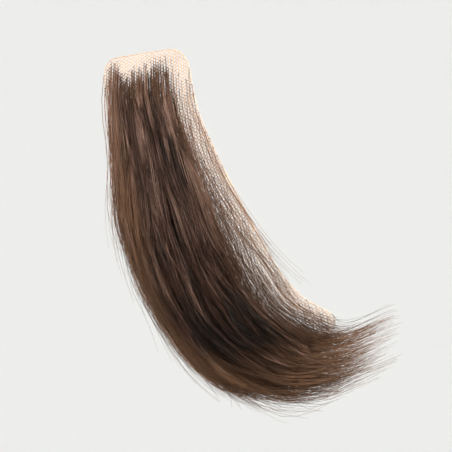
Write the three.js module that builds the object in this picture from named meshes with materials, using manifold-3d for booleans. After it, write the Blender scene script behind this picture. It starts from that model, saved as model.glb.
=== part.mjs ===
// A fake sideburn for the right cheek: locks of hair knotted into a lace net that is glued to the skin.
// Millimetres. +X points to the front of the face, +Y into the cheek and +Z up.
// The origin is on the back of the lace, where its middle sits on the cheek.
import * as THREE from "three";
import { LoftGeometry } from "three/addons/geometries/LoftGeometry.js";
import { mergeVertices } from "three/addons/utils/BufferGeometryUtils.js";
import Module from "manifold-3d";

const wasm = await Module();
wasm.setup();

// The cheek that the piece is shaped on
const CHEEK_RADIUS_ROUND = 85; // from the ear round to the mouth
const CHEEK_RADIUS_DOWN = 150; // from the temple down to the jaw

// The outline on the cheek, a row for each section across it, from the temple to the swept-forward tip.
// Back is the ear's side, front is the mouth's, and loft is how high the hair stands on the lace there.
const SECTIONS = [
  { backX: -26, backZ: 44.5, frontX: -4, frontZ: 47.5, loft: 0.8 },
  { backX: -22.5, backZ: 32.5, frontX: 0.5, frontZ: 33.5, loft: 2.6 },
  { backX: -20, backZ: 21.5, frontX: 6.5, frontZ: 22, loft: 3.6 },
  { backX: -18, backZ: 10.5, frontX: 12.5, frontZ: 11.5, loft: 4.4 },
  { backX: -15.5, backZ: 0, frontX: 18, frontZ: 1.5, loft: 5.2 },
  { backX: -11.5, backZ: -10.5, frontX: 23, frontZ: -7.5, loft: 5.8 },
  { backX: -6, backZ: -20.5, frontX: 28, frontZ: -14, loft: 6.2 },
  { backX: 1.5, backZ: -30.5, frontX: 33, frontZ: -17.5, loft: 6.2 },
  { backX: 11.5, backZ: -37.5, frontX: 37.5, frontZ: -20, loft: 5.6 },
  { backX: 23.5, backZ: -40, frontX: 41, frontZ: -21, loft: 4.6 },
  { backX: 34.5, backZ: -36, frontX: 44.5, frontZ: -21, loft: 3.2 },
  { backX: 44, backZ: -29, frontX: 48.5, frontZ: -19.5, loft: 1.2 },
];

// The lace base. Along runs from 0 at the temple to 1 at the tip, and the hair's tip overhangs the lace.
const LACE_THICKNESS = 1;
const LACE_CORNER = 4; // radius of its two corners at the temple
const LACE_END = 0.8;
const LACE_END_ROUNDING = 0.14; // length of the rounded end, along
const LACE_END_WIDTH = 0.3; // of the full width, where the rounded end is cut off
const LACE_FRONT_MARGIN = 2; // bare net past the hair
const LACE_BACK_MARGIN = 1;
const LACE_STEPS_ALONG = 36;
const LACE_STEPS_ACROSS = 10;

// The hair's outer form across the outline, from -1 at the back edge to 1 at the front
const HAIR_CREST = -0.25; // where it stands highest
const HAIR_EDGE = 1; // its height along the edges
const BACK_FULLNESS = 3; // the back edge is full
const FRONT_FULLNESS = 1.7; // the front edge is feathered

// The mat of hair close to the lace, which the locks spring from
const ROOT_GAP = 0.3; // between the lace and the underside of the hair
const MAT_START = 0.08;
const MAT_END = 0.93;
const MAT_WIDTH = 0.9; // of the outline, so that the locks make its edge
const MAT_HEIGHT = 0.62; // of the hair's outer form
const MAT_STEPS_ALONG = 30;
const MAT_STEPS_ACROSS = 8;

// The locks, in rows that overlap like thatch, and last the wisps down the feathered front edge.
// Each lock starts at from, give or take the stagger, runs its length along and drifts outwards.
// First and last are the places across of a row's two end locks.
// Width and height are those of a lock's fullest section.
const LOCK_ROWS = [
  { count: 6, from: 0.03, length: 0.41, first: -0.84, last: 0.8, drift: 0.02, width: 5, height: 1.9 },
  { count: 7, from: 0.2, length: 0.42, first: -0.9, last: 0.86, drift: 0.03, width: 5.6, height: 2.2 },
  { count: 7, from: 0.38, length: 0.42, first: -0.9, last: 0.88, drift: 0.05, width: 6, height: 2.4 },
  { count: 7, from: 0.56, length: 0.41, first: -0.9, last: 0.86, drift: 0.04, width: 5.6, height: 2.4 },
  { count: 6, from: 0.08, length: 0.3, first: 0.88, last: 0.9, drift: 0.2, width: 2.6, height: 1.4 },
];
const WISP_ROW = LOCK_ROWS.length - 1;
const WISP_SPREAD = 0.5; // along, between the start of the first wisp and the last
const LOCK_STAGGER = 0.03;
const STAGGER_TURN_PER_LOCK = 2.4; // radians, so that no two neighbours match
const STAGGER_TURN_PER_ROW = 1.7;
const LOCK_ROOT_LEVEL = 0.66; // of the hair's outer form, so that its root lies in the mat
const LOCK_TIP_LEVEL = 1.04;
const LOCK_ROOT_WIDTH = 0.35; // of its full width
const LOCK_TIP_WIDTH = 0.1;
const LOCK_FULLEST = 0.35; // share of its length at which it is widest
const LOCK_TAPER = 1.5; // over 1, so that it stays full and then comes to a point
const LOCK_STEPS = 11;
const LOCK_SIDES = 6;

const HAIR_COLOUR = 0x3a2a24;
const LACE_COLOUR = 0xe6c8a8;

const edgeCurve = (x, z) =>
  new THREE.CatmullRomCurve3(SECTIONS.map((row) => new THREE.Vector3(row[x], 0, row[z])));
const backEdge = edgeCurve("backX", "backZ");
const frontEdge = edgeCurve("frontX", "frontZ");
const loftCurve = new THREE.SplineCurve(SECTIONS.map((row, i) => new THREE.Vector2(i, row.loft)));

// The point at a height off the skin. The cheek is an arc from ear to mouth and an arc from temple to jaw.
function onCheek(x, z, height) {
  const reachX = Math.sqrt(CHEEK_RADIUS_ROUND ** 2 - x ** 2);
  const reachZ = Math.sqrt(CHEEK_RADIUS_DOWN ** 2 - z ** 2);
  const skin = new THREE.Vector3(x, CHEEK_RADIUS_ROUND - reachX + CHEEK_RADIUS_DOWN - reachZ, z);
  const outward = new THREE.Vector3(x / reachX, -1, z / reachZ).normalize();
  return skin.addScaledVector(outward, height);
}

// The point that lies along and across the outline, at a height off the skin. Across goes past 1 in a margin.
function inOutline(along, across, height) {
  const { x, z } = backEdge.getPoint(along).lerp(frontEdge.getPoint(along), (across + 1) / 2);
  return onCheek(x, z, height);
}

const OUTLINE_LENGTH = (backEdge.getLength() + frontEdge.getLength()) / 2;
const halfWidth = (along) => backEdge.getPoint(along).distanceTo(frontEdge.getPoint(along)) / 2;
const mix = (from, to, share) => from + (to - from) * share;
const steps = (count) => Array.from({ length: count + 1 }, (_, i) => i / count);

// One section of a wall: its underside from the back edge to the front one, and its top on the way home.
function wallSection(along, back, front, stepsAcross, underside, top) {
  const places = steps(stepsAcross).map((share) => mix(back, front, share));
  return [
    ...places.map((across) => inOutline(along, across, underside)),
    ...places.reverse().map((across) => inOutline(along, across, top(across))),
  ];
}

function loft(sections) {
  return new LoftGeometry(sections, { capStart: true, capEnd: true });
}

// A closed geometry as a solid for joining, and a joined solid as a geometry.
function solidOf(geometry) {
  const bare = new THREE.BufferGeometry();
  bare.setAttribute("position", geometry.getAttribute("position"));
  bare.setIndex(geometry.getIndex());
  const merged = mergeVertices(bare);
  const vertProperties = merged.getAttribute("position").array;
  const triVerts = new Uint32Array(merged.getIndex().array);
  return new wasm.Manifold(new wasm.Mesh({ numProp: 3, vertProperties, triVerts }));
}

function geometryOf(solid) {
  const { vertProperties, triVerts } = solid.getMesh();
  const geometry = new THREE.BufferGeometry();
  geometry.setAttribute("position", new THREE.BufferAttribute(vertProperties, 3));
  geometry.setIndex(new THREE.BufferAttribute(triVerts, 1));
  geometry.computeVertexNormals();
  return geometry;
}

// The lace is a thin wall on the skin, a little wider than the hair, with rounded corners at the temple
// and a rounded end under the hair's tip. The sections are closest where it is rounded.
function laceGeometry() {
  const sections = steps(LACE_STEPS_ALONG).map((share) => {
    const along = (LACE_END * (1 - Math.cos(share * Math.PI))) / 2;
    const toCorner = Math.max(0, LACE_CORNER - along * OUTLINE_LENGTH);
    const corner = (LACE_CORNER - Math.sqrt(LACE_CORNER ** 2 - toCorner ** 2)) / halfWidth(along);
    const rounding = Math.max(0, (along - LACE_END + LACE_END_ROUNDING) / LACE_END_ROUNDING);
    const narrowing = Math.max(LACE_END_WIDTH, Math.sqrt(Math.max(0, 1 - rounding ** 2))) - corner;
    const back = -narrowing * (1 + LACE_BACK_MARGIN / halfWidth(along));
    const front = narrowing * (1 + LACE_FRONT_MARGIN / halfWidth(along));
    return wallSection(along, back, front, LACE_STEPS_ACROSS, 0, () => LACE_THICKNESS);
  });
  return loft(sections);
}

const HAIR_UNDERSIDE = LACE_THICKNESS + ROOT_GAP;

// How high the hair stands: highest on its crest, then falling steeply to the back and gently to the front.
function hairHeight(along, across) {
  const toBack = across < HAIR_CREST;
  const reach = toBack ? HAIR_CREST + 1 : 1 - HAIR_CREST;
  const away = Math.min(1, Math.abs(across - HAIR_CREST) / reach);
  const fall = away ** (toBack ? BACK_FULLNESS : FRONT_FULLNESS);
  const crest = Math.max(HAIR_EDGE, loftCurve.getPoint(along).y);
  return mix(crest, HAIR_EDGE, fall);
}

function matGeometry() {
  const sections = steps(MAT_STEPS_ALONG).map((share) => {
    const along = mix(MAT_START, MAT_END, share);
    const top = (across) => HAIR_UNDERSIDE + MAT_HEIGHT * hairHeight(along, across);
    return wallSection(along, -MAT_WIDTH, MAT_WIDTH, MAT_STEPS_ACROSS, HAIR_UNDERSIDE, top);
  });
  return loft(sections);
}

// A lock swells from its root, then narrows to its tip.
function lockWidth(share) {
  if (share < LOCK_FULLEST) {
    const swelling = Math.sin((share / LOCK_FULLEST) * (Math.PI / 2));
    return mix(LOCK_ROOT_WIDTH, 1, swelling);
  }
  const narrowing = ((share - LOCK_FULLEST) / (1 - LOCK_FULLEST)) ** LOCK_TAPER;
  return mix(1, LOCK_TIP_WIDTH, narrowing);
}

// One lock: an oval section carried along, in the mat at its root and on the hair's outer form at its tip.
function lockGeometry({ from, length, drift, width, height }, across) {
  const sections = steps(LOCK_STEPS).map((share) => {
    const along = Math.min(1, from + length * share);
    const middle = across + Math.sign(across) * drift * share ** 2;
    const size = lockWidth(share);
    const acrossReach = (size * width) / 2 / halfWidth(along);
    const heightReach = (Math.sqrt(size) * height) / 2;
    const top = hairHeight(along, middle) * mix(LOCK_ROOT_LEVEL, LOCK_TIP_LEVEL, share);
    const centre = HAIR_UNDERSIDE + Math.max(heightReach, top - heightReach);
    return steps(LOCK_SIDES - 1).map((_, side) => {
      const angle = (side / LOCK_SIDES) * 2 * Math.PI;
      const sideAcross = middle - acrossReach * Math.cos(angle);
      return inOutline(along, sideAcross, centre - heightReach * Math.sin(angle));
    });
  });
  return loft(sections);
}

// The locks of a row, side by side, each starting and ending a little before or after its neighbours.
function rowOfLocks(row, rowNumber) {
  return steps(row.count - 1).map((share, i) => {
    const turn = STAGGER_TURN_PER_LOCK * i + STAGGER_TURN_PER_ROW * rowNumber;
    const spread = rowNumber === WISP_ROW ? WISP_SPREAD : 0;
    const start = row.from + spread * share + LOCK_STAGGER * Math.sin(turn);
    const from = Math.max(LOCK_STAGGER / 2, start);
    return lockGeometry({ ...row, from }, mix(row.first, row.last, share));
  });
}

function hairGeometry() {
  const locks = LOCK_ROWS.flatMap(rowOfLocks);
  const hair = locks.reduce((joined, lock) => joined.add(solidOf(lock)), solidOf(matGeometry()));
  return geometryOf(hair);
}

function named(name, geometry, colour, roughness) {
  const material = new THREE.MeshStandardMaterial({ color: colour, roughness, metalness: 0 });
  const mesh = new THREE.Mesh(geometry, material);
  mesh.name = name;
  return mesh;
}

const sideburn = new THREE.Group();
sideburn.add(named("lace_base", laceGeometry(), LACE_COLOUR, 0.9));
sideburn.add(named("hair", hairGeometry(), HAIR_COLOUR, 0.5));

export default sideburn;
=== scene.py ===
import math

import bmesh
import bpy
import numpy as np
from mathutils import Matrix, Vector
from mathutils.bvhtree import BVHTree
from mathutils.kdtree import KDTree


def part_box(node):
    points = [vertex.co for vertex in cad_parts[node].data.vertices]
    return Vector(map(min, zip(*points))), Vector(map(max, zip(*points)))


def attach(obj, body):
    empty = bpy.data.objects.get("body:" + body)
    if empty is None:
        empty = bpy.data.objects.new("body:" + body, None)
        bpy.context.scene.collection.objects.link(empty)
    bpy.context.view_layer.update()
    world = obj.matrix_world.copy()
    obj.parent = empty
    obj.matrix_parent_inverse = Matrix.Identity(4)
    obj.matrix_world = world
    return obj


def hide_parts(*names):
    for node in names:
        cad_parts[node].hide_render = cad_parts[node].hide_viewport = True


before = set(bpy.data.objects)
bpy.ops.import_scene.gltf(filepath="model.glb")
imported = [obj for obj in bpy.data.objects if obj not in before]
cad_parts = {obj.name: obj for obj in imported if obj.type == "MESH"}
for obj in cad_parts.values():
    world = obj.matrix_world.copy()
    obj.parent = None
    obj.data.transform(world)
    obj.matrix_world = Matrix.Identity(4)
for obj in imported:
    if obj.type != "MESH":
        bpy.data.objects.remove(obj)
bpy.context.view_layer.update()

# The lace base is a hexagonal knotting net of flesh-toned nylon thread, heat-set so that it keeps its form.
# It is cut to the sideburn's outline, lies on the skin, and carries every knot of the hair.
# Sizes are in millimetres, and a piece is turned to metres as its mesh is made.
MM = 0.001
CHEEK_ROUND = 85.0  # radius of the cheek from back to front
CHEEK_DOWN = 150.0  # radius of the cheek from the temple down to the jaw
NET_CELL = 0.82  # between the flats of a hexagon
NET_THREAD = 0.25  # thicker than the real thread, so that it still shows in the render
NET_SIDE = NET_CELL / math.sqrt(3)
NET_ROW = 1.5 * NET_SIDE
NET_TURN = 21.0  # degrees, the lie of the net against the cut
PROBE_HEIGHTS = (-1.0, 0.5)  # off the skin, two points of a ray that looks for the solid lace
SIDE_WALL = 0.5  # a face of the solid whose cosine to the way off the skin is under this is a side wall
NYLON = "DFBE9C"
# The darker tone is painted shade in the grooves of the twist, and also the real darkening of handled
# patches.
NYLON_HANDLED_AND_GROOVE_SHADE = "C69C78"
THREAD_TWIST = 0.35  # a turn of the twisted thread, drawn coarse enough to show
TWIST_DEPTH = 0.04
HANDLED_PATCH = 6.0  # across a patch that handling has darkened a little
MAP_MARGIN = 0.02  # left free round the edge of a map for a bake


def on_cheek(x, z, height):
    """Points at a height off the skin, which is an arc from back to front and an arc from temple to jaw."""
    reach_x = np.sqrt(CHEEK_ROUND**2 - x**2)
    reach_z = np.sqrt(CHEEK_DOWN**2 - z**2)
    skin = np.stack([x, CHEEK_ROUND - reach_x + CHEEK_DOWN - reach_z, z], -1)
    outward = np.stack([x / reach_x, -np.ones_like(x), z / reach_z], -1)
    outward /= np.linalg.norm(outward, axis=-1, keepdims=True)
    return skin + outward * np.asarray(height)[..., None]


def linear(code, alpha=1.0):
    """An sRGB hex colour as the linear numbers that a socket takes."""
    parts = [int(code[i : i + 2], 16) / 255 for i in (0, 2, 4)]
    return [c / 12.92 if c <= 0.04045 else ((c + 0.055) / 1.055) ** 2.4 for c in parts] + [alpha]


def node(tree, kind, settings=None, **inputs):
    """Adds a node with its settings and links.

    Stops are the places and hex colours of a ramp. An input is given a value or a socket by its name,
    or by its number after an underscore.
    """
    made = tree.nodes.new("ShaderNode" + kind)
    for name, value in (settings or {}).items():
        if name == "stops":
            elements = made.color_ramp.elements
            while len(elements) < len(value):
                elements.new(1.0)
            for element, (place, code) in zip(elements, value):
                element.position = place
                element.color = linear(code)
        else:
            setattr(made, name, value)
    for name, value in inputs.items():
        socket = made.inputs[int(name[1:]) if name[1:].isdigit() else name.replace("_", " ")]
        if isinstance(value, bpy.types.NodeSocket):
            tree.links.new(value, socket)
        else:
            socket.default_value = value
    return made


def new_material(name):
    """A new material, its node tree and its shader."""
    made = bpy.data.materials.new(name)
    made.use_nodes = True
    return made, made.node_tree, made.node_tree.nodes["Principled BSDF"]


def laid_flat(mesh):
    """Gives a thin mesh its map for a bake, as it is seen from straight in front of the cheek."""
    laid = np.array([mesh.vertices[loop.vertex_index].co for loop in mesh.loops])[:, [0, 2]]
    laid = MAP_MARGIN + (1 - 2 * MAP_MARGIN) * (laid - laid.min(0)) / np.ptp(laid, 0)
    mesh.uv_layers.new(name="OFBake").uv.foreach_set("vector", laid.ravel().astype(np.float32))


lace_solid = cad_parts["lace_base"]
lace_low, lace_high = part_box("lace_base")
lace_middle = (lace_low + lace_high) / 2 / MM
net_reach = (lace_high - lace_low).length / 2 / MM
columns = 4 * math.ceil(net_reach / NET_CELL)
rows = 2 * math.ceil(net_reach / NET_ROW)
net = bmesh.new()
bmesh.ops.create_grid(net, x_segments=columns, y_segments=rows, size=1.0)
grid_places = {}
for vertex in net.verts:
    column = round((vertex.co.x + 1) / 2 * columns)
    row = round((vertex.co.y + 1) / 2 * rows)
    grid_places[vertex] = column, row
    zigzag = NET_SIDE / 4 if (column + row) % 2 == 0 else -NET_SIDE / 4
    vertex.co = ((column - columns / 2) * NET_CELL / 2, 0, (row - rows / 2) * NET_ROW + zigzag)

# Every other upright is taken out, which leaves bricks, and the zigzag makes each brick a hexagon.
spare = []
for edge in net.edges:
    (column, row), (other_column, other_row) = (grid_places[vertex] for vertex in edge.verts)
    if column == other_column and (column + min(row, other_row)) % 2:
        spare.append(edge)
bmesh.ops.dissolve_edges(net, edges=spare, use_verts=False, use_face_split=False)
turned = Matrix.Rotation(math.radians(NET_TURN), 3, "Y")
bmesh.ops.rotate(net, verts=net.verts, cent=(0, 0, 0), matrix=turned)
bmesh.ops.translate(net, verts=net.verts, vec=(lace_middle.x, 0, lace_middle.z))

# What isn't over the solid lace is cut away: there, a ray through the skin at a hexagon's middle misses it.
middles = np.array([face.calc_center_median() for face in net.faces])
starts, ends = (on_cheek(middles[:, 0], middles[:, 2], height) * MM for height in PROBE_HEIGHTS)
cut_away = []
for face, start, end in zip(net.faces, starts, ends):
    if not lace_solid.ray_cast(Vector(start), Vector(end - start))[0]:
        cut_away.append(face)
bmesh.ops.delete(net, geom=cut_away, context="FACES")

# The net's rim is drawn to the nearest place on the solid's side walls, as a heat-sealed cut leaves it.
corners = [vertex.co for vertex in lace_solid.data.vertices]
corner_x, corner_z = (np.array(corners) / MM)[:, [0, 2]].T
off_the_skin = on_cheek(corner_x, corner_z, 1.0) - on_cheek(corner_x, corner_z, 0.0)
side_walls = []
for polygon in lace_solid.data.polygons:
    if abs(polygon.normal.dot(Vector(off_the_skin[polygon.vertices[0]]))) < SIDE_WALL:
        side_walls.append(polygon.vertices[:])
wall_tree = BVHTree.FromPolygons(corners, side_walls)
for vertex in {vertex for edge in net.edges if edge.is_boundary for vertex in edge.verts}:
    on_skin = Vector(on_cheek(np.array(vertex.co.x), np.array(vertex.co.z), 0.0)) * MM
    near, _, _, distance = wall_tree.find_nearest(on_skin)
    if distance < NET_CELL * MM:
        vertex.co = near.x / MM, 0, near.z / MM
crossings = np.array([(vertex.co.x, vertex.co.z) for vertex in net.verts])
for vertex, place in zip(net.verts, on_cheek(crossings[:, 0], crossings[:, 1], NET_THREAD / 2) * MM):
    vertex.co = place
cut_area = sum(face.calc_area() for face in net.faces)
bmesh.ops.recalc_face_normals(net, faces=net.faces)
bmesh.ops.wireframe(
    net,
    faces=net.faces[:],
    thickness=NET_THREAD * MM,
    offset=0.0,
    use_replace=True,
    use_boundary=True,
    use_even_offset=False,
    use_relative_offset=False,
)
lace_mesh = bpy.data.meshes.new("lace_net")
net.to_mesh(lace_mesh)
net.free()
laid_flat(lace_mesh)
lace_net = bpy.data.objects.new("lace_net", lace_mesh)
bpy.context.scene.collection.objects.link(lace_net)

# Twisted nylon thread: a soft satin sheen, with painted shade in the grooves of the twist,
# and a little darker where it was handled.
nylon, tree, shader = new_material("twisted_nylon_net")
place = node(tree, "TexCoord").outputs["Object"]
handled = node(tree, "TexNoise", Vector=place, Scale=1 / (HANDLED_PATCH * MM), Detail=3.0).outputs["Fac"]
twist = node(tree, "TexNoise", Vector=place, Scale=1 / (THREAD_TWIST * MM), Detail=1.0).outputs["Fac"]
# Half of this mix is painted shade from the twist's grooves, and half is the handled patches.
handling_and_groove_shade = node(tree, "Math", {"operation": "MULTIPLY"}, _0=twist, _1=0.5).outputs[0]
handling_and_groove_shade = node(tree, "Math", {"operation": "MULTIPLY_ADD"}, _0=handled, _1=0.5, _2=handling_and_groove_shade).outputs[0]
colour = node(tree, "ValToRGB", {"stops": [(0.35, NYLON_HANDLED_AND_GROOVE_SHADE), (0.6, NYLON)]}, Fac=handling_and_groove_shade)
tree.links.new(colour.outputs["Color"], shader.inputs["Base Color"])
bump = node(tree, "Bump", Height=twist, Strength=0.4, Distance=TWIST_DEPTH * MM)
tree.links.new(bump.outputs["Normal"], shader.inputs["Normal"])
shader.inputs["Roughness"].default_value = 0.55
shader.inputs["IOR"].default_value = 1.53
lace_mesh.materials.append(nylon)
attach(lace_net, "root")
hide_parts("lace_base")

# The knots: each hair is hooked through a crossing of the net and tied round it, so a knot is a dark bead.
# Fewer crossings are knotted at the temple and down the front edge, where the hair has to look as if grown.
# Along is from 0 at the temple to 1 at the tip, and across from -1 at the back edge to 1 at the front edge.
HAIR_THICKNESS = 0.11  # a third thicker than real hair, so that each still shows in the render
HAIRS_A_KNOT = 3  # at most
KNOT_RADIUS = 0.17
KNOT_SIZES = (0.75, 1.2)  # of that radius
KNOT_TONES = [(0.35, "36241A"), (0.65, "5E4333")]
TONE_PATCH = 1.5  # over which neighbours are alike
WINDING_DEPTH = 0.03

# The outline is that of the solid locks, with a row for each section across it, from the temple to the tip.
# The columns are the back edge's x and z, the front edge's x and z, and how high the hair stands.
OUTLINE = np.array([
    (-26.0, 44.5, -4.0, 47.5, 0.8),
    (-22.5, 32.5, 0.5, 33.5, 2.6),
    (-20.0, 21.5, 6.5, 22.0, 3.6),
    (-18.0, 10.5, 12.5, 11.5, 4.4),
    (-15.5, 0.0, 18.0, 1.5, 5.2),
    (-11.5, -10.5, 23.0, -7.5, 5.8),
    (-6.0, -20.5, 28.0, -14.0, 6.2),
    (1.5, -30.5, 33.0, -17.5, 6.2),
    (11.5, -37.5, 37.5, -20.0, 5.6),
    (23.5, -40.0, 41.0, -21.0, 4.6),
    (34.5, -36.0, 44.5, -21.0, 3.2),
    (44.0, -29.0, 48.5, -19.5, 1.2),
])

# The density is that of the hairs, as a share of the most that the net can hold.
FIRST_ACROSS = (-1.0, -0.8, -0.62, -0.5, -0.3, 0.1, 0.4, 0.7, 1.0)
FIRST_ALONG = (0.002, -0.008, 0.006, 0.02, 0.014, 0.008, 0.004, -0.008, 0.02)  # a ragged line of first knots
FIRST_FADE = 0.045  # along, over which the hair gets to its full density
FIRST_POWER = 1.2
LAST_ACROSS = (-1.0, 0.0, 0.3)
LAST_ALONG = (0.7, 0.75, 0.775)  # the line of last knots
LAST_FADE = 0.12  # along, over which the hair thins again
LAST_SHARE = 0.4
SPARSE_ACROSS = (-1.08, -0.98, -0.85, -0.65, 0.1, 0.33, 0.47, 0.66, 0.9, 1.08)
SPARSE_SHARE = (0.006, 0.05, 0.2, 1.0, 1.0, 0.4, 0.15, 0.07, 0.05, 0.025)

# Dense hair reaches further out, by these widths across: to the front at the temple and at the jaw, and
# to the back in the temple's corner. Each pair is where that starts to change and where it has changed.
FULLER_TEMPLE = 0.3
TEMPLE_LEFT = (0.0, 0.25)
FULLER_JAW = 0.5
JAW_REACHED = (0.48, 0.7)
FRONT_REACHED = (0.0, 0.5)
FULLER_CORNER = 0.12
CORNER_LEFT = (0.04, 0.2)
CORNER_REACHED = (0.4, 0.8)
rng = np.random.default_rng(11)


def outline_at(along):
    """The outline's columns at places along it, on smooth curves through its rows."""
    before = 2 * OUTLINE[:1] - OUTLINE[1:2]
    after = 2 * OUTLINE[-1:] - OUTLINE[-2:-1]
    points = np.concatenate([before, OUTLINE, after])
    held = np.clip(along, 0, 1)
    place = held * (len(OUTLINE) - 1)
    first = np.minimum(place.astype(int), len(OUTLINE) - 2)
    t = (place - first)[..., None]
    a, b, c, d = (points[first + k] for k in range(4))
    on_curve = b + t / 2 * (c - a + t * (2 * a - 5 * b + 4 * c - d + t * (3 * (b - c) + d - a)))
    past = (along - held)[..., None] * (len(OUTLINE) - 1)
    return on_curve + past * (OUTLINE[-1] - OUTLINE[-2])


def in_outline(along, across, height):
    """Points along and across the outline, at a height off the skin."""
    back_x, back_z, front_x, front_z, _ = np.moveaxis(outline_at(along), -1, 0)
    share = (across + 1) / 2
    return on_cheek(back_x + (front_x - back_x) * share, back_z + (front_z - back_z) * share, height)


def eased(low, high, value):
    """0 below low, 1 above high, and a smooth step between them."""
    share = np.clip((value - low) / (high - low), 0, 1)
    return share * share * (3 - 2 * share)


# A crossing's place along and across is that of the nearest point in a fine lattice laid over the outline.
LINES_ALONG = np.linspace(0, 1, 361)
LINES_ACROSS = np.linspace(-1.1, 1.2, 141)  # a little past both edges
lattice_along, lattice_across = np.meshgrid(LINES_ALONG, LINES_ACROSS, indexing="ij")
lattice = in_outline(lattice_along, lattice_across, 0.0).reshape(-1, 3)
lattice_tree = KDTree(len(lattice))
for i, point in enumerate(lattice):
    lattice_tree.insert((point[0], 0, point[2]), i)
lattice_tree.balance()
nearest = np.array([lattice_tree.find((x, 0, z))[1] for x, z in crossings])
knot_along = lattice_along.ravel()[nearest]
knot_across = lattice_across.ravel()[nearest]

past_first = knot_along - np.interp(knot_across, FIRST_ACROSS, FIRST_ALONG)
before_last = np.interp(knot_across, LAST_ACROSS, LAST_ALONG) - knot_along
fuller = FULLER_TEMPLE * (1 - eased(*TEMPLE_LEFT, knot_along)) + FULLER_JAW * eased(*JAW_REACHED, knot_along)
inward = knot_across - fuller * eased(*FRONT_REACHED, knot_across)
in_corner = (1 - eased(*CORNER_LEFT, knot_along)) * eased(*CORNER_REACHED, -knot_across)
inward = inward + FULLER_CORNER * in_corner
density = eased(0, FIRST_FADE, past_first) ** FIRST_POWER
density = density * np.exp(np.interp(inward, SPARSE_ACROSS, np.log(SPARSE_SHARE)))
density = density * (LAST_SHARE + (1 - LAST_SHARE) * eased(0, LAST_FADE, before_last)) * (before_last > 0)
drawn = rng.random((HAIRS_A_KNOT, len(crossings))) < density
tied = drawn.any(0)

bead = bmesh.new()
bmesh.ops.create_uvsphere(bead, u_segments=6, v_segments=2, radius=KNOT_RADIUS)
bead_points = np.array([vertex.co for vertex in bead.verts])
bead_faces = np.array([[vertex.index for vertex in face.verts] for face in bead.faces])
bead.free()
knot_places = on_cheek(crossings[tied, 0], crossings[tied, 1], NET_THREAD)
knot_points = knot_places[:, None] + bead_points * rng.uniform(*KNOT_SIZES, (tied.sum(), 1, 3))
knot_faces = bead_faces + len(bead_points) * np.arange(tied.sum())[:, None, None]
knots_mesh = bpy.data.meshes.new("hair_knots")
knots_mesh.from_pydata(knot_points.reshape(-1, 3) * MM, [], knot_faces.reshape(-1, 3))
knots_mesh.shade_smooth()
laid_flat(knots_mesh)
hair_knots = bpy.data.objects.new("hair_knots", knots_mesh)
bpy.context.scene.collection.objects.link(hair_knots)

# Tightly knotted dark hair: duller than the hair that hangs, because it is bent round the thread.
knotted, tree, shader = new_material("knotted_dark_hair")
place = node(tree, "TexCoord").outputs["Object"]
tone = node(tree, "TexNoise", Vector=place, Scale=1 / (TONE_PATCH * MM), Detail=2.0).outputs["Fac"]
colour = node(tree, "ValToRGB", {"stops": KNOT_TONES}, Fac=tone)
tree.links.new(colour.outputs["Color"], shader.inputs["Base Color"])
wound = node(tree, "TexNoise", Vector=place, Scale=1 / (HAIR_THICKNESS * MM), Detail=1.0).outputs["Fac"]
bump = node(tree, "Bump", Height=wound, Strength=0.4, Distance=WINDING_DEPTH * MM)
tree.links.new(bump.outputs["Normal"], shader.inputs["Normal"])
shader.inputs["Roughness"].default_value = 0.55
shader.inputs["IOR"].default_value = 1.55
knots_mesh.materials.append(knotted)
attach(hair_knots, "root")
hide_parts("hair")

# The hair is straight dark brown human hair, one to three ends to a knot, in overlapping locks like thatch:
# each hair leaves the net low, and ends on top of the hair that is rooted below it. It is combed into locks,
# which part into finer wisps, and at the jaw the ends are thinned so that they fade out like a brush.
HAIR_LENGTH = 43.0
FRONT_LENGTH = 32.0
JAW_LENGTH_ADDED = 17.0
FRONT_ROOTS = (0.35, 1.0)  # across, from where the hair starts to be front hair to where it all is
BACK_ROOTS = (0.6, 1.0)  # the same to the back edge
JAW_ROOTS = (0.4, 0.65)  # the same along, to the jaw
ROOT_SCATTER_ALONG = 0.002
ROOT_SCATTER_ACROSS = 0.008
LOCK_SIZE = 110  # hairs
WISP_SIZE = 14  # hairs
STRAY_SHARE = 0.012
LENGTH_BY_WISP = (0.82, 1.12)  # a name with by wisp, by lock or by hair is how much these differ
LENGTH_BY_HAIR = 0.09
TIP_START = 0.735  # along, where the ends start to thin out
TIP_FADE = 0.04  # along, over which the hair falls to about a third, and then ever more slowly
TIP_BY_WISP = 0.02  # along
FURTHEST_ENDS = (0.93, 1.07)  # along
SHORTEST_HAIR = 0.06  # along
HAIR_STEPS = 9
HAIR_SIDES = 3
CREST = -0.25  # across, where the hair stands highest
EDGE_HEIGHT = 1.0
BACK_FULLNESS = 3.0
FRONT_FULLNESS = 1.7


def hair_height(along, across):
    """How high the hair stands: highest on its crest, steep to the back and gentle to the front."""
    crest = np.maximum(EDGE_HEIGHT, outline_at(along)[..., 4])
    reach = np.where(across < CREST, CREST + 1, 1 - CREST)
    away = np.clip(np.abs(across - CREST) / reach, 0, 1)
    fall = away ** np.where(across < CREST, BACK_FULLNESS, FRONT_FULLNESS)
    return crest + (EDGE_HEIGHT - crest) * fall


def grouped(size):
    """Each hair's nearest leader, of leaders picked at random, one for every so many hairs."""
    leaders = rng.choice(count, count // size, replace=False)
    leader_tree = KDTree(len(leaders))
    for leader in leaders:
        leader_tree.insert(root_places[leader], leader)
    leader_tree.balance()
    return np.array([leader_tree.find(place)[1] for place in root_places])


def between(low, high):
    """A draw of values anywhere between two ends."""
    return lambda size: rng.uniform(low, high, size)


def about(middle, spread):
    """A draw of values that crowd about a middle."""
    return lambda size: rng.normal(middle, spread, size)


def shared(groups, draw):
    """A value drawn for every hair, of which each takes its leader's."""
    return draw(size=count)[groups]


def waved(groups, size, fewest, most):
    """How far each group strays from its lie, in a slow wave that starts from nothing at the root."""
    wide = shared(groups, about(0, size))[:, None]
    turns = 2 * math.pi * shared(groups, between(fewest, most))[:, None]
    start = shared(groups, between(0, 2 * math.pi))[:, None]
    return wide * (np.sin(turns * along + start) - np.sin(turns * along[:, :1] + start))


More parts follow.
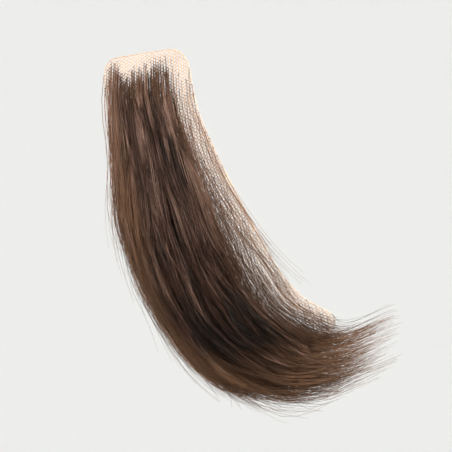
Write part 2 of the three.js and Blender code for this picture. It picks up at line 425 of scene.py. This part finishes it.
knot_of = np.concatenate([np.flatnonzero(layer) for layer in drawn])
count = len(knot_of)
root_along = knot_along[knot_of] + rng.normal(0, ROOT_SCATTER_ALONG, count)
root_across = knot_across[knot_of] + rng.normal(0, ROOT_SCATTER_ACROSS, count)
root_places = in_outline(root_along, root_across, 0.0)
wisp_of = grouped(WISP_SIZE)
lock_of = grouped(LOCK_SIZE)[wisp_of]
front = eased(*FRONT_ROOTS, root_across)
back = eased(*BACK_ROOTS, -root_across)
stray = rng.random(count) < STRAY_SHARE

# A hair's length is laid off along the outline, and at the jaw it ends where the ends are thinned.
RUN_STEPS = 200
RUNS_ACROSS = (-1.0, 0.0, 1.0)  # the back edge, the middle and the front edge
run_lines = in_outline(*np.meshgrid(np.linspace(0, 1, RUN_STEPS), RUNS_ACROSS), 0.0)
run_lengths = np.linalg.norm(np.diff(run_lines, axis=1), axis=2).sum(1)
run = np.interp(root_across, RUNS_ACROSS, run_lengths)
length = HAIR_LENGTH + (FRONT_LENGTH - HAIR_LENGTH) * front
length = length + JAW_LENGTH_ADDED * eased(*JAW_ROOTS, root_along)
length = length * shared(wisp_of, between(*LENGTH_BY_WISP)) * about(1, LENGTH_BY_HAIR)(count)
thinned = TIP_START + TIP_FADE * rng.exponential(1, count) ** 2
thinned = np.minimum(thinned + shared(wisp_of, about(0, TIP_BY_WISP)), between(*FURTHEST_ENDS)(count))
last_along = np.minimum(root_along + length / run, np.maximum(thinned, root_along + SHORTEST_HAIR))
share = np.linspace(0, 1, HAIR_STEPS)[None]
along = root_along[:, None] + (last_along - root_along)[:, None] * share

# Across, a hair is drawn to its wisp and the wisp to its lock. It splays out at both edges and fans out at
# the tip, where hair from the back runs straight on past the bend of the outline.
STRAY_HOLD = 0.2  # of the pull that other hairs feel
BACK_LOOSENESS = 0.7  # of that pull, lost at the back edge
WISP_HOLD = (0.6, 1.0)
LOCK_HOLD = (0.2, 0.65)
WISP_PULL = 1.6
WISP_EASING = 0.9  # how much of that pull is lost by the hair's end
SPLAY = 0.02
STRAY_SPLAY = 0.05
FRONT_SPLAY = 0.09
MOST_SPLAY = 0.22
BACK_FLARE = 0.06
LOWER_FLARE = 0.14
LOWER_ROOTS = (0.2, 0.45)  # along
FLARE_BY_HAIR = 0.12
MOST_FLARE = 0.2
TIP_REACHED = (0.72, 1.0)  # along
TIP_LOOSENESS = 0.8
FAN_BY_WISP = 0.2
FAN_BY_HAIR = 0.3
FAN_BY_ROOT = 0.45
FAN_LIMITS = (-0.7, 0.8)
STRAIGHT_ROOTS = (-0.4, 0.6)  # across, from where all the hair runs straight on to where none does
STRAIGHT_BY_WISP = (0.3, 1.1)
STRAIGHT_REACH = 2.0
BEND_START = 0.84  # along
BEND_RUN = 0.2  # along
BEND_MOST = 1.15
BEND_POWER = 1.7
FRONT_CALM = 0.6  # of the waves, lost at the front edge
loose = np.where(stray, STRAY_HOLD, 1) * (1 - BACK_LOOSENESS * back)
to_wisp = (root_across[wisp_of] - root_across) * shared(wisp_of, between(*WISP_HOLD)) * loose
to_lock = (root_across[lock_of] - root_across[wisp_of]) * shared(lock_of, between(*LOCK_HOLD)) * loose
gathered = to_wisp[:, None] * share * (WISP_PULL - WISP_EASING * share) + to_lock[:, None] * share
splay = about(0, SPLAY)(count)
splay = splay + front * np.minimum(np.abs(about(FRONT_SPLAY, FRONT_SPLAY)(count)), MOST_SPLAY)
flare = BACK_FLARE + LOWER_FLARE * eased(*LOWER_ROOTS, root_along)
flare = flare + np.minimum(about(0, FLARE_BY_HAIR)(count), MOST_FLARE)
splay = splay - back * np.abs(flare) + stray * about(0, STRAY_SPLAY)(count)
at_tip = eased(*TIP_REACHED, along)
fan = shared(wisp_of, about(0, FAN_BY_WISP)) + about(0, FAN_BY_HAIR)(count) + FAN_BY_ROOT * root_across
fan = np.clip(fan, *FAN_LIMITS)
straight = shared(wisp_of, between(*STRAIGHT_BY_WISP)) * (1 - eased(*STRAIGHT_ROOTS, root_across))
past_bend = np.clip((along - BEND_START) / BEND_RUN, 0, BEND_MOST) ** BEND_POWER
across = root_across[:, None] + gathered * (1 - TIP_LOOSENESS * at_tip) + fan[:, None] * at_tip
across = across - STRAIGHT_REACH * straight[:, None] * past_bend
waves = waved(lock_of, size=0.05, fewest=1, most=2.2) + waved(wisp_of, size=0.03, fewest=3, most=6)
across = across + waves * (1 - FRONT_CALM * front)[:, None]
across = across + waved(np.arange(count), size=0.008, fewest=3, most=6)
across = across + splay[:, None] * share**2

# A hair clears its knot at once, and then rises to its own level in the height of the hair.
CLEAR_OF_KNOT = 0.9
CLEARING = (0.0, 0.06)  # of the hair's length
LEVEL_BY_LOCK = (0.7, 1.06)
LEVEL_BY_WISP = (0.6, 1.06)
LEVEL_BY_HAIR = (0.84, 1.0)
WAVES_REACHED = (0.0, 0.5)  # of the hair's length
RISE_POWER = 0.6
LEAST_RISE = 0.1
STRAY_LIFT = 1.3
level = shared(lock_of, between(*LEVEL_BY_LOCK)) * shared(wisp_of, between(*LEVEL_BY_WISP))
level = level * between(*LEVEL_BY_HAIR)(count)
rise = hair_height(along, across) * level[:, None] * share**RISE_POWER
waves = waved(lock_of, size=0.3, fewest=2, most=4) + waved(wisp_of, size=0.4, fewest=4, most=7)
rise = rise + waves * eased(*WAVES_REACHED, share)
lifted = (stray * np.abs(about(0, STRAY_LIFT)(count)))[:, None] * share**2
height = NET_THREAD + CLEAR_OF_KNOT * eased(*CLEARING, share) + np.maximum(rise, LEAST_RISE) + lifted
paths = in_outline(along, across, height)

# Each hair is a thin tube with a few sides that tapers to its end, finer at the front edge.
THICKNESS_BY_HAIR = (0.75, 1.2)
FRONT_FINENESS = 0.2
TAPER = 0.6
thickness = HAIR_THICKNESS * (between(*THICKNESS_BY_HAIR)(count) - FRONT_FINENESS * front)
radius = thickness[:, None] / 2 * (1 - TAPER * share**3)
forward = np.gradient(paths, axis=1)
forward /= np.linalg.norm(forward, axis=2, keepdims=True)
sideways = np.cross(forward, in_outline(along, across, height + 1.0) - paths)
sideways /= np.linalg.norm(sideways, axis=2, keepdims=True)
upward = np.cross(sideways, forward)
turn = between(0, 2 * math.pi)(count)[:, None] + 2 * math.pi / HAIR_SIDES * np.arange(HAIR_SIDES)
turn = turn[:, None, :, None]
ring = np.cos(turn) * sideways[:, :, None] + np.sin(turn) * upward[:, :, None]
hair_points = paths[:, :, None] + ring * radius[:, :, None, None]

# Tint sets the hair's colour, from near black at 0 to light brown at 1. It is darker below the temple, where
# locks and wisps also differ more, and lighter down the back edge, painted light through the thin hair
# there.
# Flecks along each wisp are painted sheen: short highlights that break up along the hair.
TEMPLE_TINT = 0.52
DARKER_BELOW = 0.58
TEMPLE_PASSED = (0.0, 0.3)  # along
BACK_DELAY = 0.07  # along
BACK_DELAYED = (0.1, 0.9)  # across to the back
BACK_LIGHTER = 0.25
BACK_LIGHTER_BELOW = 0.2  # more
TEMPLE_MIX = 0.55  # of the mix of tones below
TONE_BY_LOCK = 0.12
TONE_BY_WISP = 0.3
TONE_BY_HAIR = 0.12
PAINTED_SHEEN_FLECKS = 0.2
below = eased(*TEMPLE_PASSED, root_along - BACK_DELAY * eased(*BACK_DELAYED, -root_across))
tones = shared(lock_of, about(0, TONE_BY_LOCK)) + shared(wisp_of, about(0, TONE_BY_WISP))
# The lighter tint down the back edge, more of it below, is painted light coming through the thin hair there.
tint = TEMPLE_TINT - DARKER_BELOW * below + (BACK_LIGHTER + BACK_LIGHTER_BELOW * below) * back
tint = tint + tones * (TEMPLE_MIX + (1 - TEMPLE_MIX) * below) + about(0, TONE_BY_HAIR)(count)
# The flecks drawn along each wisp are painted sheen, short highlights where the hair would catch the light.
tint = np.clip(tint[:, None] + rng.normal(0, PAINTED_SHEEN_FLECKS, along.shape)[wisp_of], 0, 1)

# This mask is how far each point of a hair is mixed to a paler tone: at the tip, down both edges and at the
# temple, with a wider back edge half way down and at the jaw, and unevenly from wisp to wisp. At the thin
# tip and edges it is painted light coming through the hair, on the back edge also painted light on hair that
# faces away from the key light, and at the temple only a paler tone.
PALER_TIP = (0.61, 0.92)  # along
PALER_FRONT = (0.3, 1.0)  # across
FRONT_PALING = 0.65
PAINTED_LIGHT_BACK = (0.52, 1.0)  # across to the back
HALF_WAY_REACHED = (0.12, 0.3)  # along
HALF_WAY_LEFT = (0.42, 0.56)  # along
HALF_WAY_WIDER = 0.2
JAW_BACK = (0.54, 0.7)  # along
JAW_WIDER = 0.26
PALER_TEMPLE = (0.0, 0.12)  # along
TEMPLE_PALING = 0.5
PALING_BY_WISP = (0.3, 1.3)
PALING_BY_HAIR = 0.2
half_way = eased(*HALF_WAY_REACHED, along) * (1 - eased(*HALF_WAY_LEFT, along))
# The wider back edge half way down and at the jaw is painted light on hair that faces away from the key
# light.
wider = HALF_WAY_WIDER * half_way + JAW_WIDER * eased(*JAW_BACK, along)
places_paled_and_lit = [
    eased(*PALER_TIP, along),
    FRONT_PALING * eased(*PALER_FRONT, across),
    eased(*PAINTED_LIGHT_BACK, wider - across),
    TEMPLE_PALING * (1 - eased(*PALER_TEMPLE, along)),
]
uneven = shared(wisp_of, between(*PALING_BY_WISP)) + about(0, PALING_BY_HAIR)(count)
worn = np.clip(np.max(places_paled_and_lit, axis=0) * uneven[:, None], 0, 1)

# Dark brown hair: a smooth cuticle with a long soft highlight, mixed towards a paler red-brown by the mask
# above: painted light at the thin tip and edges and on the back edge, and a paler tone at the temple.
HAIR_TONES = [(0.0, "0E0704"), (0.3, "2E1A11"), (0.5, "4C3429"), (0.75, "6E5347"), (1.0, "937565")]
PALE_TONE_AND_PAINTED_LIGHT = "9C7355"
MOST_PALING = 0.7  # of the way to that tone
HIGHLIGHT = "F8E6DA"
hair_material, tree, shader = new_material("dark_brown_human_hair")
tint_read = node(tree, "Attribute", {"attribute_name": "tint"}).outputs["Fac"]
paling_and_light_read = node(tree, "Attribute", {"attribute_name": "worn"}).outputs["Fac"]
own = node(tree, "ValToRGB", {"stops": HAIR_TONES}, Fac=tint_read).outputs["Color"]
# The mix towards the paler tone is painted light at the tip, the edges and the back, and a paler tone at the
# temple.
paling_mix = node(tree, "Math", {"operation": "MULTIPLY"}, _0=paling_and_light_read, _1=MOST_PALING).outputs[0]
mixed = node(tree, "Mix", {"data_type": "RGBA"}, Factor=paling_mix, _6=own, _7=linear(PALE_TONE_AND_PAINTED_LIGHT))
tree.links.new(mixed.outputs[2], shader.inputs["Base Color"])
gloss = node(tree, "MapRange", Value=tint_read, To_Min=0.3, To_Max=0.45).outputs[0]
tree.links.new(gloss, shader.inputs["Roughness"])
shader.inputs["IOR"].default_value = 1.55
shader.inputs["Specular IOR Level"].default_value = 0.2
shader.inputs["Specular Tint"].default_value = linear(HIGHLIGHT)

# The map for a bake lays each face of a hair at its tint and at its mix of paler tone and painted light,
# which are all that its colour needs.
SPOT = 0.01  # half the width of a face on that map
PALING_SHARE = 0.95  # of the map's height, and the rest keeps a hair's steps apart


def hair_piece(name, chosen):
    """One mesh of closed tapered tubes for the chosen hairs."""
    first = HAIR_STEPS * HAIR_SIDES * np.arange(len(chosen))[:, None, None]
    step = HAIR_SIDES * np.arange(HAIR_STEPS - 1)[None, :, None]
    side = np.arange(HAIR_SIDES)[None, None]
    corners = [first + step + side, first + step + (side + 1) % HAIR_SIDES]
    corners += [corners[1] + HAIR_SIDES, corners[0] + HAIR_SIDES]
    walls = np.stack(corners, -1).reshape(-1, 4)
    roots = first[:, 0] + np.arange(HAIR_SIDES)[::-1]
    ends = first[:, 0] + HAIR_STEPS * HAIR_SIDES - HAIR_SIDES + np.arange(HAIR_SIDES)
    faces = walls.tolist() + roots.tolist() + ends.tolist()
    mesh = bpy.data.meshes.new(name)
    mesh.from_pydata(hair_points[chosen].reshape(-1, 3) * MM, [], faces)
    mesh.shade_smooth()
    for attribute, values in (("tint", tint), ("worn", worn)):
        made = mesh.attributes.new(attribute, "FLOAT", "POINT")
        made.data.foreach_set("value", np.repeat(values[chosen].ravel(), HAIR_SIDES).astype(np.float32))
    spots = np.stack([tint[chosen], PALING_SHARE * worn[chosen] + (1 - PALING_SHARE) * share], -1)
    spots = MAP_MARGIN + (1 - 2 * MAP_MARGIN) * spots
    aside = np.array([SPOT, 0.0])
    quads = [spots[:, :-1] - aside, spots[:, :-1] + aside, spots[:, 1:] + aside, spots[:, 1:] - aside]
    quads = np.repeat(np.stack(quads, 2)[:, :, None], HAIR_SIDES, 2)
    cap = np.array([(-SPOT, -SPOT), (SPOT, -SPOT), (0.0, SPOT)])
    caps = spots[:, [0, -1]].swapaxes(0, 1)[:, :, None] + cap
    laid = np.concatenate([quads.ravel(), caps.ravel()]).astype(np.float32)
    mesh.uv_layers.new(name="OFBake").uv.foreach_set("vector", laid)
    mesh.materials.append(hair_material)
    piece = bpy.data.objects.new(name, mesh)
    bpy.context.scene.collection.objects.link(piece)
    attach(piece, "root")
    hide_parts("hair")
    return piece


TIERS = ("hair_temple", "hair_upper_cheek", "hair_lower_cheek", "hair_jaw")
tiers = np.array_split(np.argsort(root_along, kind="stable"), len(TIERS))
on_the_net = [hair_knots] + [hair_piece(name, chosen) for name, chosen in zip(TIERS, tiers)]

# The camera stands a little to the front of straight out from the cheek, and almost level with it.
# Its sizes, and those of the stage and the lights, are in metres.
VIEW_AZIMUTH = 25.0
VIEW_ELEVATION = 2.0
VIEW_DISTANCE = 1.5
VIEW_WIDTH = 0.112
VIEW_MIDDLE = Vector((0.0105, 0.004, 0.0035))


def way_to(azimuth, elevation):
    """The direction to a place round the part, in degrees to the front of straight out, and upwards."""
    turn = math.radians(azimuth)
    tilt = math.radians(elevation)
    return Vector((math.sin(turn) * math.cos(tilt), -math.cos(turn) * math.cos(tilt), math.sin(tilt)))


away = way_to(VIEW_AZIMUTH, VIEW_ELEVATION)
camera = bpy.data.objects.new("camera", bpy.data.cameras.new("camera"))
camera.location = VIEW_MIDDLE + away * VIEW_DISTANCE
camera.rotation_euler = away.to_track_quat("Z", "Y").to_euler()
camera.data.lens = camera.data.sensor_width * VIEW_DISTANCE / VIEW_WIDTH
camera.data.clip_start = 0.05
camera.data.clip_end = 20.0
bpy.context.scene.collection.objects.link(camera)
bpy.context.scene.camera = camera

# The stage is a plain pale bowl, with a flat floor and a wall that curves up out of it all round.
# It is matt white paper, which shows neither a shine nor an edge.
FLOOR_LEVEL = -1.8
FLOOR_RADIUS = 1.6
WALL_RADIUS = 2.8
WALL_TOP = 2.6
BEND_STEPS = 12
ROUND_STEPS = 64
bowl = bmesh.new()
profile = [bowl.verts.new((0, 0, FLOOR_LEVEL)), bowl.verts.new((FLOOR_RADIUS, 0, FLOOR_LEVEL))]
bend = WALL_RADIUS - FLOOR_RADIUS
for i in range(1, BEND_STEPS + 1):
    angle = math.radians(90 * i / BEND_STEPS)
    outward = FLOOR_RADIUS + bend * math.sin(angle)
    profile.append(bowl.verts.new((outward, 0, FLOOR_LEVEL + bend * (1 - math.cos(angle)))))
profile.append(bowl.verts.new((WALL_RADIUS, 0, WALL_TOP)))
bmesh.ops.spin(
    bowl,
    geom=profile + [bowl.edges.new(pair) for pair in zip(profile, profile[1:])],
    cent=(0, 0, 0),
    axis=(0, 0, 1),
    angle=2 * math.pi,
    steps=ROUND_STEPS,
    use_merge=True,
)
bmesh.ops.remove_doubles(bowl, verts=bowl.verts, dist=1e-5)
bmesh.ops.recalc_face_normals(bowl, faces=bowl.faces)
bowl_mesh = bpy.data.meshes.new("stage_bowl")
bowl.to_mesh(bowl_mesh)
bowl.free()
bowl_mesh.shade_smooth()
stage_bowl = bpy.data.objects.new("stage_bowl", bowl_mesh)
bpy.context.scene.collection.objects.link(stage_bowl)
paper, tree, shader = new_material("matt_white_paper")
shader.inputs["Base Color"].default_value = linear("EFEFEE")
shader.inputs["Roughness"].default_value = 0.9
bowl_mesh.materials.append(paper)

# Soft studio light: a key from the front and above, weaker fills from the back and from below, one from
# straight above that draws the wisps out, and one on the net's back. The columns are the azimuth,
# the elevation, the distance, the size and the watts.
LIGHTS = [
    ("key", 55.0, 42.0, 1.3, 0.5, 24.0),
    ("fill", -50.0, 20.0, 1.4, 1.2, 5.0),
    ("bounce", 40.0, -35.0, 1.4, 1.2, 4.0),
    ("top", 10.0, 80.0, 1.4, 0.5, 5.0),
    ("behind", 190.0, 30.0, 1.5, 1.2, 10.0),
]
ROOM_LIGHT = 0.82
for name, azimuth, elevation, distance, size, power in LIGHTS:
    away = way_to(azimuth, elevation)
    lamp = bpy.data.objects.new(name, bpy.data.lights.new(name, "AREA"))
    lamp.data.size = size
    lamp.data.energy = power
    lamp.location = away * distance
    lamp.rotation_euler = away.to_track_quat("Z", "Y").to_euler()
    lamp.visible_camera = False
    bpy.context.scene.collection.objects.link(lamp)
world = bpy.data.worlds.new("studio")
world.use_nodes = True
room = world.node_tree.nodes["Background"]
room.inputs["Color"].default_value = (1, 1, 1, 1)
room.inputs["Strength"].default_value = ROOM_LIGHT
bpy.context.scene.world = world
bpy.context.scene.view_settings.view_transform = "Standard"
